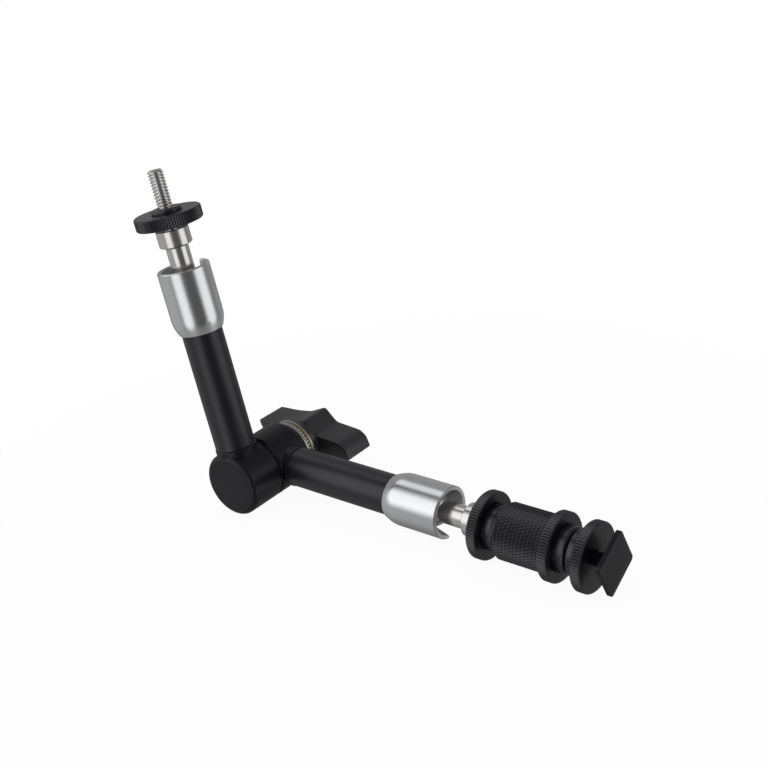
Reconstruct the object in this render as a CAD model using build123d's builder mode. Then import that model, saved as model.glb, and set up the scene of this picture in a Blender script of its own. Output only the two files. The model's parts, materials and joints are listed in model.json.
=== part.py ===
from build123d import *
from dataclasses import dataclass
from math import atan2, cos, degrees, radians, sin, sqrt
import os

# An articulating friction arm, in millimetres. +X runs along the lower arm, +Y along the elbow
# axis toward the wing knob, +Z up. The arm stands on its elbow barrels and the adapter's discs.
# The origin is under the middle of the whole arm, on the surface that it stands on.

# Fits
running = 0.1  # radial clearance of a turning or sliding fit
seat_gap = 0.05  # between faces that press on each other

# Tubes and the heads' necks
tube_r = 8.5
tube_wall = 1.5
tube_bore_r = tube_r - tube_wall
tube_edge = 0.3
neck_step = 0.3
head_neck_r = tube_r + neck_step  # the barrel's own short neck, a step wider than the tube
neck_clearance = 0.4  # between a head's neck and the middle of the elbow
arm_offset = head_neck_r + neck_clearance  # an arm's axis, to the side of the elbow centre
upper_angle = 99.6  # from the lower arm up to the upper arm

# Elbow barrels
barrel_r = 14.0
barrel_wall = 0.2  # of the barrel beyond its neck, along the elbow axis
barrel_out = arm_offset + head_neck_r + barrel_wall  # from the elbow centre to a barrel's outer face
barrel_gap = 0.7  # between the two barrels, filled by the friction washer
barrel_edge_r = 2.4
barrel_chamfer = 1.0
washer_r = 12.0
head_neck_start = 4.0  # inside the barrel, beyond its middle
neck_rise = 1.4  # of the neck beyond the barrel
head_neck_end = barrel_r + neck_rise
head_neck_edge = 0.4
stub_start = 8.0
stub_end = 27.0
stub_edge = 1.0

# Where the elbow centre lies in the arm's frame, its barrels standing on the surface
elbow_x = -67.73
elbow_y = -10.61
elbow_z = barrel_r

# Push rods
rod_r = 3.0
rod_bore_end = 30.0

# Draw bolt and wedges
bolt_r = 4.0
bolt_edge = 0.8
cap_r = 10.6
cap_thick = 1.2
cap_clearance = 1.5  # between the cap and the bolt's head, for the bolt's travel
bolt_head_r = 7.4
bolt_head_front = barrel_out - cap_thick - cap_clearance
bolt_cavity_r = 8.0
cavity_step = 2.8  # of the cavity past the arm's axis, toward the middle
cavity_start = arm_offset - cavity_step
wedge_edge = 0.5
wedge_slope = 0.5  # radius gained per mm along the elbow axis
cone_reach = 4.0  # of a cone past the arm's axis, away from the middle
cone_base = arm_offset + cone_reach  # where both cones reach their full radius

# Thrust stack between the rear barrel and the knob
thrust_r = 12.3
cage_r = 12.0
thrust_thick = 1.0
cage_thick = 1.8
stack_clearance = 0.65  # between the rear barrel and the stack
stack_start = barrel_out + stack_clearance
wedge_tail_end = stack_start - seat_gap
cage_start = stack_start + thrust_thick + seat_gap
outer_thrust_start = cage_start + cage_thick + seat_gap

# Wing knob
knob_boss_r = 9.0
knob_boss_start = outer_thrust_start + thrust_thick + seat_gap
knob_edge_r = 0.6
knob_boss_len = 5.8
wing_start = knob_boss_start + knob_boss_len
wing_height = 15.6
wing_end = wing_start + wing_height
insert_r = 6.4
insert_depth = 2.6  # of the insert's end below the knob's top
bolt_depth = 0.6  # of the bolt's end below the insert's
insert_end = wing_end - insert_depth
bolt_end = insert_end - bolt_depth
# Half of the wing's outline, as (toward the lower arm, up, corner radius)
wing_tip_top = (-26.7, 4.2, 0.9)
wing_back = (-15.0, 4.9, 20.0)
crest_foot = (-7.0, 6.2, 12.0)
crest = (2.0, 10.2, 2.4)
crest_drop = (8.0, 4.3, 3.0)
wing_tip_low = (24.0, 3.2, 3.0)

# Ball sockets, with stations measured along an arm from the elbow axis
collar_step = 0.8
socket_swell = 1.6
socket_start = 67.8
socket_start_r = tube_r + collar_step
socket_r = socket_start_r + socket_swell
socket_taper = 6.5
socket_end = 95.0
ball_station = 86.4
ball_r = 7.6
lip_height = 3.4
mouth_rim = 1.5
mouth_r = socket_r - mouth_rim
tube_end = 73.4
slot_w = 10.5
socket_edge = 0.4
seat_start = 74.5
seat_end = 82.4

# Ball studs, with a 1/4"-20 thread left plain at its major diameter
neck_r = 4.7
shoulder_r = 6.8
shoulder_edge = 0.3
shoulder_start = 104.4
shoulder_end = 111.4
thread_r = 3.175
thread_seat_r = 2.95  # where the lock disc or lock nut sits, slimmer than the free end
thread_len = 23.8
thread_end = shoulder_end + thread_len
thread_chamfer = 0.7
thread_fit = 0.06

# Knurled discs, sleeve and shoe foot
disc_r = 13.8
disc_rim = 4.2
disc_hub_r = 9.5
disc_hub = 4.8
disc_chamfer = 0.5
lock_rim = 5.2
lock_hub_r = 6.5
lock_hub = 1.5
lock_lift = 1.7  # the lock disc's rest above the shoulder
free_gap = 0.3  # from the lock disc to where the stud's free end starts
free_start = shoulder_end + lock_lift + lock_rim + lock_hub + free_gap
stack_gap = 0.1  # between a nut and what it is screwed against
sleeve_r = 11.5
sleeve_len = 22.1
sleeve_lead_r = 10.2
sleeve_lead = 1.2
sleeve_lead_edge = 0.6
sleeve_edge = 0.4
foot_side = 18.6
foot_thick = 2.0
foot_corner_r = 1.5
foot_edge = 0.3
foot_turn = 26.8
foot_gap = 5.8  # where a shoe's rails slide in
stud_tip_gap = 1.5  # between the two studs' tips inside the sleeve

rim_tolerance = 0.001  # for picking an edge by its radius

# Directions about the elbow
elbow = Vector(elbow_x, elbow_y, elbow_z)
pivot_dir = Vector(0, 1, 0)
pivot = Axis(elbow, pivot_dir)


@dataclass
class Arm:
    """One arm: its axis, the side of the elbow that it is on, and which way its socket slot faces."""

    name: str
    angle: float
    side: int
    slot_angle: float

    @property
    def direction(self):
        return Vector(cos(radians(self.angle)), 0, sin(radians(self.angle)))

    @property
    def base(self):
        return elbow + pivot_dir * (self.side * arm_offset)

    @property
    def axis(self):
        return Axis(self.base, self.direction)

    @property
    def profile(self):
        """A plane that holds the arm's axis: x is the radius, y the station along the arm."""
        return Plane(self.base, x_dir=pivot_dir, z_dir=pivot_dir.cross(self.direction))

    def across(self, station):
        """A plane square to the arm at a station, with x toward the knob."""
        return Plane(self.base + self.direction * station, x_dir=pivot_dir, z_dir=self.direction)


upper = Arm("upper", upper_angle, -1, 35.0)
lower = Arm("lower", 0.0, 1, -70.0)


def pivot_plane(y):
    """A plane square to the elbow axis, y mm along it from the elbow centre, facing the knob."""
    return Plane(elbow + pivot_dir * y, x_dir=(-1, 0, 0), z_dir=pivot_dir)


def turned_on_arm(arm, outline):
    """A turned solid about an arm's axis, from (radius, station) corners."""
    with BuildPart() as solid:
        with BuildSketch(arm.profile):
            with BuildLine():
                Polyline(*outline, close=True)
            make_face()
        revolve(axis=arm.axis)
    return solid.part


def turned_on_pivot(outline):
    """A turned solid about the elbow axis, from (radius, distance along the axis) corners."""
    with BuildPart() as solid:
        with BuildSketch(Plane(elbow, x_dir=(1, 0, 0), z_dir=(0, 0, 1))):
            with BuildLine():
                Polyline(*outline, close=True)
            make_face()
        revolve(axis=pivot)
    return solid.part


def rod_outline(radius, start, end):
    """Corners of a plain cylinder, for one of the two turning functions."""
    return [(0, start), (radius, start), (radius, end), (0, end)]


def rims_of(part, radius):
    """The circular edges of a part that have a given radius."""
    circles = part.edges().filter_by(GeomType.CIRCLE)
    return circles.filter_by(lambda edge: abs(edge.radius - radius) < rim_tolerance)


def cone_radius(y):
    """Radius of a wedge cone at a distance y from the elbow centre."""
    return bolt_head_r - wedge_slope * (cone_base - y)


# A push rod's round inner end rests on its cone in the arm's plane
rod_tip_centre = cone_radius(arm_offset) + (rod_r + seat_gap) * sqrt(1 + wedge_slope**2)


def make_head(arm):
    """A barrel of the elbow with the short neck and the stub that carry the arm's tube."""
    inner = arm.side * barrel_gap / 2
    outer = arm.side * barrel_out
    cavity = (-barrel_out, -cavity_start) if arm.side < 0 else (cavity_start, barrel_out)
    cavity_r = bolt_cavity_r if arm.side < 0 else bolt_head_r + running
    with BuildPart() as head:
        with BuildSketch(pivot_plane(inner)):
            Circle(barrel_r)
        extrude(amount=outer - inner)
        rims = head.edges().filter_by(GeomType.CIRCLE).sort_by(pivot)
        fillet(rims[0 if arm.side < 0 else -1], barrel_edge_r)
        rims = head.edges().filter_by(GeomType.CIRCLE).sort_by(pivot)
        chamfer(rims[-1 if arm.side < 0 else 0], barrel_chamfer)
        add(turned_on_arm(arm, rod_outline(head_neck_r, head_neck_start, head_neck_end)))
        chamfer(rims_of(head, head_neck_r).sort_by(arm.axis)[-1], head_neck_edge)
        stub = rod_outline(tube_bore_r, stub_start, stub_end - stub_edge)
        stub.insert(3, (tube_bore_r - stub_edge, stub_end))
        stub[4] = (0, stub_end)
        add(turned_on_arm(arm, stub))
        bolt_bore = rod_outline(bolt_r + running, -barrel_out, barrel_out)
        add(turned_on_pivot(bolt_bore), mode=Mode.SUBTRACT)
        add(turned_on_pivot(rod_outline(cavity_r, *cavity)), mode=Mode.SUBTRACT)
        add(turned_on_arm(arm, rod_outline(rod_r + running, 0, rod_bore_end)), mode=Mode.SUBTRACT)
        if arm.side < 0:
            recess = rod_outline(cap_r + seat_gap, -barrel_out, -barrel_out + cap_thick)
            add(turned_on_pivot(recess), mode=Mode.SUBTRACT)
    return head.part


def make_tube(arm):
    """The arm's plain tube, from the head's neck to inside the socket."""
    with BuildPart() as tube:
        with BuildSketch(arm.across(head_neck_end)):
            Circle(tube_r)
            Circle(tube_bore_r, mode=Mode.SUBTRACT)
        extrude(amount=tube_end - head_neck_end)
        chamfer(rims_of(tube, tube_r).sort_by(arm.axis)[0], tube_edge)
    return tube.part


def make_socket(arm):
    """The turned collar that holds the ball, with a U slot that lets the stud fold aside."""
    bore_r = ball_r + running
    lip_r = sqrt(bore_r**2 - lip_height**2)
    lip_station = ball_station + lip_height
    lip_middle = radians(90 - degrees(atan2(lip_height, bore_r)) / 2)
    with BuildPart() as socket:
        with BuildSketch(arm.profile):
            with BuildLine():
                bottom = Line((tube_r, socket_start), (socket_start_r, socket_start))
                taper = Spline(
                    bottom @ 1,
                    (socket_r, socket_start + socket_taper),
                    tangents=[(0.35, 0.94), (0, 1)],
                )
                side = Line(taper @ 1, (socket_r, socket_end - socket_edge))
                edge = Line(side @ 1, (socket_r - socket_edge, socket_end))
                face = Line(edge @ 1, (mouth_r, socket_end))
                mouth = Line(face @ 1, (lip_r, lip_station))
                seat = ThreePointArc(
                    mouth @ 1,
                    (bore_r * sin(lip_middle), ball_station + bore_r * cos(lip_middle)),
                    (bore_r, ball_station),
                )
                bore = Line(seat @ 1, (bore_r, tube_end))
                step = Line(bore @ 1, (tube_r, tube_end))
                Line(step @ 1, bottom @ 0)
            make_face()
        revolve(axis=arm.axis)
        slot_dir = pivot_dir.rotate(Axis((0, 0, 0), arm.direction), arm.slot_angle)
        ball_centre = arm.base + arm.direction * ball_station
        with BuildSketch(Plane(ball_centre, x_dir=arm.direction, z_dir=slot_dir)):
            Circle(slot_w / 2)
            with Locations((slot_w, 0)):
                Rectangle(2 * slot_w, slot_w)
        extrude(amount=socket_r + 1, mode=Mode.SUBTRACT)
    return socket.part


def make_rod(arm):
    """The rod inside the tube that carries the wedge's push to the ball seat."""
    rod_end = seat_start - seat_gap
    tip = rod_tip_centre - rod_r
    middle = rod_r * sqrt(0.5)
    with BuildPart() as rod:
        with BuildSketch(arm.profile):
            with BuildLine():
                base = Line((0, rod_end), (0, tip))
                nose = ThreePointArc(base @ 1, (middle, rod_tip_centre - middle), (rod_r, rod_tip_centre))
                flank = Line(nose @ 1, (rod_r, rod_end))
                Line(flank @ 1, base @ 0)
            make_face()
        revolve(axis=arm.axis)
    return rod.part


def make_ball_seat(arm):
    """The cup that the rod presses on the ball."""
    cup_r = ball_r + seat_gap
    outer_r = ball_r - running
    rim_r = sqrt(cup_r**2 - (ball_station - seat_end) ** 2)
    middle = atan2(rim_r, ball_station - seat_end) / 2
    with BuildPart() as seat:
        with BuildSketch(arm.profile):
            with BuildLine():
                base = Line((0, seat_start), (outer_r, seat_start))
                wall = Line(base @ 1, (outer_r, seat_end))
                rim = Line(wall @ 1, (rim_r, seat_end))
                cup = ThreePointArc(
                    rim @ 1,
                    (cup_r * sin(middle), ball_station - cup_r * cos(middle)),
                    (0, ball_station - cup_r),
                )
                Line(cup @ 1, base @ 0)
            make_face()
        revolve(axis=arm.axis)
    return seat.part


def make_ball_stud(arm):
    """Ball, neck, shoulder and thread, turned from one bar."""
    neck_start = ball_station + sqrt(ball_r**2 - neck_r**2)
    with BuildPart() as stud:
        with BuildSketch(arm.profile):
            with BuildLine():
                base = Line((0, thread_end), (0, ball_station - ball_r))
                ball = ThreePointArc(base @ 1, (ball_r, ball_station), (neck_r, neck_start))
                shank = Polyline(
                    ball @ 1,
                    (neck_r, shoulder_start),
                    (shoulder_r - shoulder_edge, shoulder_start),
                    (shoulder_r, shoulder_start + shoulder_edge),
                    (shoulder_r, shoulder_end),
                    (thread_seat_r, shoulder_end),
                    (thread_seat_r, free_start),
                    (thread_r, free_start),
                    (thread_r, thread_end - thread_chamfer),
                    (thread_r - thread_chamfer, thread_end),
                )
                Line(shank @ 1, base @ 0)
            make_face()
        revolve(axis=arm.axis)
    return stud.part


def make_disc(arm, rim_start, facing, rim, hub_r, hub_len):
    """A knurled nut: a wide rim and a narrower hub. facing is +1 with the hub outward, -1 inward."""
    rim_end = rim_start + facing * rim
    hub_end = rim_end + facing * hub_len
    cut = facing * disc_chamfer
    bore = thread_r + thread_fit
    with BuildPart() as disc:
        with BuildSketch(arm.profile):
            with BuildLine():
                Polyline(
                    (bore, rim_start),
                    (disc_r - disc_chamfer, rim_start),
                    (disc_r, rim_start + cut),
                    (disc_r, rim_end - cut),
                    (disc_r - disc_chamfer, rim_end),
                    (hub_r, rim_end),
                    (hub_r, hub_end - cut),
                    (hub_r - disc_chamfer, hub_end),
                    (bore, hub_end),
                    close=True,
                )
            make_face()
        revolve(axis=arm.axis)
    return disc.part


def make_sleeve(arm, start):
    """The adapter's threaded sleeve, whose outside is diamond knurled."""
    end = start + sleeve_len
    bore = thread_r + thread_fit
    with BuildPart() as sleeve:
        with BuildSketch(arm.profile):
            with BuildLine():
                Polyline(
                    (bore, start),
                    (sleeve_lead_r, start),
                    (sleeve_lead_r, start + sleeve_lead),
                    (sleeve_r - sleeve_lead_edge, start + sleeve_lead),
                    (sleeve_r, start + sleeve_lead + sleeve_lead_edge),
                    (sleeve_r, end - sleeve_edge),
                    (sleeve_r - sleeve_edge, end),
                    (bore, end),
                    close=True,
                )
            make_face()
        revolve(axis=arm.axis)
    return sleeve.part


def make_foot(arm, inner_face):
    """The square shoe foot, with the stud that screws into the sleeve."""
    with BuildPart() as foot:
        with BuildSketch(arm.across(inner_face)):
            RectangleRounded(foot_side, foot_side, foot_corner_r, rotation=foot_turn)
        extrude(amount=foot_thick)
        chamfer(foot.faces().sort_by(arm.axis)[-1].edges(), foot_edge)
        stud_start = thread_end + stud_tip_gap
        with BuildSketch(arm.across(stud_start)):
            Circle(thread_r)
        extrude(amount=inner_face - stud_start)
        tip = foot.edges().filter_by(GeomType.CIRCLE).sort_by(arm.axis)[0]
        chamfer(tip, thread_chamfer)
    return foot.part


def make_knob():
    """The wing knob: an S-shaped wing that looks the same turned half a turn, on a round boss."""
    corners = [wing_tip_top, wing_back, crest_foot, crest, crest_drop, wing_tip_low]
    # The other half is the same turned half a turn
    outline = [(-x, z) for x, z, _ in corners] + [(x, -z) for x, z, _ in corners]
    radii = [radius for _, _, radius in corners] * 2
    with BuildPart() as knob:
        # The plane's x runs toward -X
        with BuildSketch(pivot_plane(wing_start)):
            with BuildLine():
                FilletPolyline(*outline, radius=radii, close=True)
            make_face()
        extrude(amount=wing_end - wing_start)
        fillet(knob.faces().sort_by(pivot)[-1].edges(), knob_edge_r)
        with BuildSketch(pivot_plane(knob_boss_start)):
            Circle(knob_boss_r)
        extrude(amount=wing_start - knob_boss_start)
        with BuildSketch(pivot_plane(knob_boss_start)):
            Circle(insert_r)
        extrude(amount=insert_end - knob_boss_start, mode=Mode.SUBTRACT)
    return knob.part


def make_insert():
    """The knob's threaded metal insert."""
    bore = bolt_r + thread_fit
    start, end = knob_boss_start, insert_end
    return turned_on_pivot([(bore, start), (insert_r, start), (insert_r, end), (bore, end)])


def make_bolt():
    """The draw bolt, whose head is the front wedge cone."""
    front = -bolt_head_front
    cone_end = -(cone_base - (bolt_head_r - bolt_r) / wedge_slope)
    return turned_on_pivot(
        [
            (0, front),
            (bolt_head_r - wedge_edge, front),
            (bolt_head_r, front + wedge_edge),
            (bolt_head_r, -cone_base),
            (bolt_r, cone_end),
            (bolt_r, bolt_end - bolt_edge),
            (bolt_r - bolt_edge, bolt_end),
            (0, bolt_end),
        ]
    )


def make_rear_wedge():
    """The sliding cone that the knob presses into the rear barrel."""
    bore = bolt_r + running
    nose = cone_base - (bolt_head_r - bore - wedge_edge) / wedge_slope
    return turned_on_pivot(
        [
            (bore, nose),
            (bore + wedge_edge, nose),
            (bolt_head_r, cone_base),
            (bolt_head_r, wedge_tail_end),
            (bore, wedge_tail_end),
        ]
    )


def make_ring(outer_r, start, thick):
    """A flat ring on the draw bolt."""
    bore = bolt_r + 2 * running
    return turned_on_pivot([(bore, start), (outer_r, start), (outer_r, start + thick), (bore, start + thick)])


# Pieces by name
pieces = {}
for arm in (upper, lower):
    pieces[f"{arm.name}_head"] = make_head(arm)
    pieces[f"{arm.name}_tube"] = make_tube(arm)
    pieces[f"{arm.name}_socket"] = make_socket(arm)
    pieces[f"{arm.name}_push_rod"] = make_rod(arm)
    pieces[f"{arm.name}_ball_seat"] = make_ball_seat(arm)
    pieces[f"{arm.name}_ball_stud"] = make_ball_stud(arm)

# The elbow's lock
pieces["draw_bolt"] = make_bolt()
pieces["rear_wedge"] = make_rear_wedge()
pieces["front_cap"] = turned_on_pivot(rod_outline(cap_r, -barrel_out, -barrel_out + cap_thick))
washer_thick = barrel_gap - 2 * seat_gap
pieces["friction_washer"] = make_ring(washer_r, -washer_thick / 2, washer_thick)
pieces["inner_thrust_washer"] = make_ring(thrust_r, stack_start, thrust_thick)
pieces["thrust_cage"] = make_ring(cage_r, cage_start, cage_thick)
pieces["outer_thrust_washer"] = make_ring(thrust_r, outer_thrust_start, thrust_thick)
pieces["wing_knob"] = make_knob()
pieces["knob_insert"] = make_insert()

# What screws on the two studs
disc_start = shoulder_end + stack_gap
disc_len = disc_rim + disc_hub
sleeve_start = disc_start + disc_len + stack_gap
jam_start = sleeve_start + sleeve_len + stack_gap
clamp_rim_start = jam_start + 2 * disc_len + stack_gap
pieces["upper_lock_disc"] = make_disc(upper, shoulder_end + lock_lift, 1, lock_rim, lock_hub_r, lock_hub)
pieces["lower_lock_nut"] = make_disc(lower, disc_start, 1, disc_rim, disc_hub_r, disc_hub)
pieces["adapter_sleeve"] = make_sleeve(lower, sleeve_start)
pieces["adapter_jam_nut"] = make_disc(lower, jam_start, 1, disc_rim, disc_hub_r, disc_hub)
pieces["shoe_clamp_nut"] = make_disc(lower, clamp_rim_start, -1, disc_rim, disc_hub_r, disc_hub)
pieces["shoe_foot"] = make_foot(lower, clamp_rim_start + foot_gap)

os.makedirs("parts", exist_ok=True)
for name, part in pieces.items():
    part.label = name
    export_step(part, f"parts/{name}.step")
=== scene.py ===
"""Looks of the articulating friction arm: its finishes, threads and knurling, and the studio.

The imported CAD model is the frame. Nodes whose shape is right keep it and get a finish. The studs,
knurled nuts, sleeve, foot, cage, bolt and wing knob are replaced by surfaces worked out here.
Sizes are in millimetres until a mesh is made.
"""

import json
import logging
import math
from dataclasses import dataclass, replace
from enum import Enum
from typing import ClassVar

import bpy
import numpy as np
from mathutils import Matrix, Vector

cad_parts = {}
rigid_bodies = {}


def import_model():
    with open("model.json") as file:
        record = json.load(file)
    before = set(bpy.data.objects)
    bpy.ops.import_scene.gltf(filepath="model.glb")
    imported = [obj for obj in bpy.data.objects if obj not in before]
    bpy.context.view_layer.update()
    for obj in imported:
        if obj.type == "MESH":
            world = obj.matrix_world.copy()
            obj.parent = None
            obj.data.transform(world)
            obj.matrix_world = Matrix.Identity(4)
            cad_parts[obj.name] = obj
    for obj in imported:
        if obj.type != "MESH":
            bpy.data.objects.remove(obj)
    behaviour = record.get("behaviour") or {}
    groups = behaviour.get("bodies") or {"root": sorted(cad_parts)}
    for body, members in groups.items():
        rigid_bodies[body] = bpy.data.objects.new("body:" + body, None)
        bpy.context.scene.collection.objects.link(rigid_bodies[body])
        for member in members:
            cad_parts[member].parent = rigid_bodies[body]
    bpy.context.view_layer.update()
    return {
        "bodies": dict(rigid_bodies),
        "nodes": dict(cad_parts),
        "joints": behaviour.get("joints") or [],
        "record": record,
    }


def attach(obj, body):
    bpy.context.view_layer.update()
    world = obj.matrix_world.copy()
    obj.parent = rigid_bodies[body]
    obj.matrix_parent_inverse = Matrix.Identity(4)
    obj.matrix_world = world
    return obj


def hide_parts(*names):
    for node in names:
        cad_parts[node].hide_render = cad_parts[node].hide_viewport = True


MM = 0.001
FULL_TURN = 2 * math.pi
SHARP_ANGLE = math.radians(32)
UNCUT_R = 1000.0  # a cutter's radius where it cuts nothing
STATION_SLACK = 1e-6  # how far past a cut's ends a row still counts as on it
CREST_DROP = 0.02  # how far below the outline a crest still counts as left standing
WHITE = (1, 1, 1, 1)

Socket = bpy.types.NodeSocket
Colour = tuple[float, float, float]
Direction = tuple[float, float, float]
Outline = list[tuple[float, float]]  # (radius, station) corners

log = logging.getLogger("friction_arm")


class Ends(Enum):
    """How a grid of rows closes: on a pole at each end, or round into a ring."""

    POLES = "poles"
    RING = "ring"


class Facing(Enum):
    """Which way a nut's hub points along its arm."""

    OUTWARD = 1
    INWARD = -1


@dataclass(frozen=True)
class TurningLine:
    """The axis that a turned piece is made about.

    Distances along it are stations, measured from its origin.
    """

    origin: np.ndarray
    along: np.ndarray
    across: np.ndarray

    @property
    def side(self) -> np.ndarray:
        """The direction square to both the line and its across direction."""
        return np.cross(self.along, self.across)

    def place(self, across: np.ndarray, side: np.ndarray, station: np.ndarray) -> np.ndarray:
        """Turns local distances into points in metres.

        Args:
            across: Distance in the across direction.
            side: Distance in the side direction.
            station: Distance along the line.

        Returns:
            Points, with x, y and z on the last axis.
        """
        local = (
            across[..., None] * self.across
            + side[..., None] * self.side
            + station[..., None] * self.along
        )
        return (self.origin + local) * MM

    def around(self, radius: np.ndarray, angles: np.ndarray, station: np.ndarray) -> np.ndarray:
        """Points in metres at a radius, an angle from the across direction and a station."""
        return self.place(radius * np.cos(angles), radius * np.sin(angles), station)


def joint_line(frame: dict, name: str, station: float, across: Direction) -> TurningLine:
    """The line of a joint's axis, with its origin set back so that the joint is at a station.

    Args:
        name: The joint's name.
        station: The joint's own station.
        across: A direction square to the axis.

    Returns:
        The line.
    """
    joint = next(j for j in frame["joints"] if j["name"] == name)
    along = np.array(joint["axis"], float)
    along = along / np.linalg.norm(along)
    origin = np.array(joint["pos_m"], float) / MM - along * station
    return TurningLine(origin, along, np.array(across, float))


def angles_round(columns: int) -> np.ndarray:
    """Evenly spaced angles round a full turn, as one row."""
    return np.linspace(0, FULL_TURN, columns, endpoint=False)[None, :]


def subdivide(corners: Outline, step: float) -> tuple[np.ndarray, np.ndarray]:
    """Divides each straight run of an outline into equal parts no longer than a step.

    Args:
        corners: The outline.
        step: The longest part.

    Returns:
        Radii and stations of all the rows, each as one column.
    """
    points = np.array(corners, float)
    lengths = np.linalg.norm(np.diff(points, axis=0), axis=1)
    parts = np.maximum(np.ceil(lengths / step).astype(int), 1)
    ends = np.concatenate([[0], np.cumsum(parts)])
    rows = np.arange(ends[-1] + 1)
    radii, stations = (np.interp(rows, ends, points[:, k])[:, None] for k in range(2))
    return radii, stations


def arc(centre: tuple[float, float], radius: float, start: float, end: float, parts: int) -> Outline:
    """Corners on an arc of an outline.

    A corner lies at the centre plus the radius times the cosine of its angle in radius, and
    times the sine in station.

    Args:
        centre: (radius, station) of the arc's centre.
        radius: The arc's own radius.
        start: First angle in degrees.
        end: Last angle in degrees.
        parts: Number of straight parts.

    Returns:
        The corners.
    """
    angles = np.radians(np.linspace(start, end, parts + 1))
    radii = centre[0] + radius * np.cos(angles)
    stations = centre[1] + radius * np.sin(angles)
    return list(zip(radii.tolist(), stations.tolist()))


def band(radius: float, start: float, end: float, first_edge: float, last_edge: float) -> Outline:
    """Corners of a cylinder's side between two stations, with a chamfer at each end."""
    return [
        (radius - first_edge, start),
        (radius, start + first_edge),
        (radius, end - last_edge),
        (radius - last_edge, end),
    ]


def groove_wave(turns: np.ndarray, land: float, power: float) -> np.ndarray:
    """Depth of a V groove that repeats once a turn.

    A triangle wave, 1 at whole turns and 0 half way between them, less the flat land's share,
    stretched back to reach 1, to a power that rounds the bottom.

    Args:
        turns: Position in turns, a groove's middle at each whole one.
        land: Share of the tooth that is left flat, from 0 to 1.
        power: Above 1, the groove's sides are hollow.

    Returns:
        Depth from 0 to 1.
    """
    triangle = np.abs(2 * (turns % 1.0) - 1)
    return np.clip((triangle - land) / (1 - land), 0, 1) ** power


@dataclass(frozen=True)
class Cutter:
    """A cut into a turned piece between two stations, by up to its depth below its radius."""

    radius: float
    depth: float
    start: float
    end: float

    def share(self, angles: np.ndarray, stations: np.ndarray) -> np.ndarray:
        """How much of its depth the cut has.

        Args:
            angles: Angles from the across direction.
            stations: Stations along the line.

        Returns:
            The share, from 0 to 1, at each angle and station.
        """
        raise NotImplementedError

    def left(self, angles: np.ndarray, stations: np.ndarray) -> np.ndarray:
        """What the cutter leaves of the piece.

        Args:
            angles: Angles from the across direction.
            stations: Stations along the line.

        Returns:
            The radius at each angle and station.
        """
        radius = self.radius - self.depth * self.share(angles, stations)
        inside = (stations >= self.start - STATION_SLACK) & (stations <= self.end + STATION_SLACK)
        return np.where(inside, radius, UNCUT_R)


@dataclass(frozen=True)
class ThreadCut(Cutter):
    """A screw thread: a grooved wave along a helix, which grows over its run-in.

    The wave's place is the station over the pitch less the angle over a full turn.
    """

    pitch: float
    land: float = 0.2
    run_in: float = 1.0

    def share(self, angles: np.ndarray, stations: np.ndarray) -> np.ndarray:
        """The wave times how far the thread has grown."""
        wave = groove_wave(stations / self.pitch - angles / FULL_TURN, self.land, 1.0)
        return wave * np.clip((stations - self.start) / self.run_in, 0, 1)


@dataclass(frozen=True)
class StraightKnurl(Cutter):
    """Teeth along the axis: a grooved wave round it."""

    teeth: int
    land: float = 0.12
    power: float = 1.2

    def share(self, angles: np.ndarray, stations: np.ndarray) -> np.ndarray:
        """The wave, the same at every station."""
        return groove_wave(self.teeth * angles / FULL_TURN, self.land, self.power)


@dataclass(frozen=True)
class DiamondKnurl(Cutter):
    """Two sets of crossed grooves: the deeper of two waves along opposite helices."""

    starts: int
    helix_deg: float
    land: float = 0.16
    power: float = 1.1

    def share(self, angles: np.ndarray, stations: np.ndarray) -> np.ndarray:
        """The deeper of the right and left-handed waves.

        Args:
            angles: Angles from the across direction.
            stations: Stations along the line.

        Returns:
            The share, from 0 to 1, at each angle and station.
        """
        round_pitch = FULL_TURN * self.radius / self.starts
        along_turns = stations / (round_pitch / math.tan(math.radians(self.helix_deg)))
        round_turns = self.starts * angles / FULL_TURN
        right = groove_wave(round_turns + along_turns, self.land, self.power)
        left = groove_wave(round_turns - along_turns, self.land, self.power)
        return np.maximum(right, left)


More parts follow.
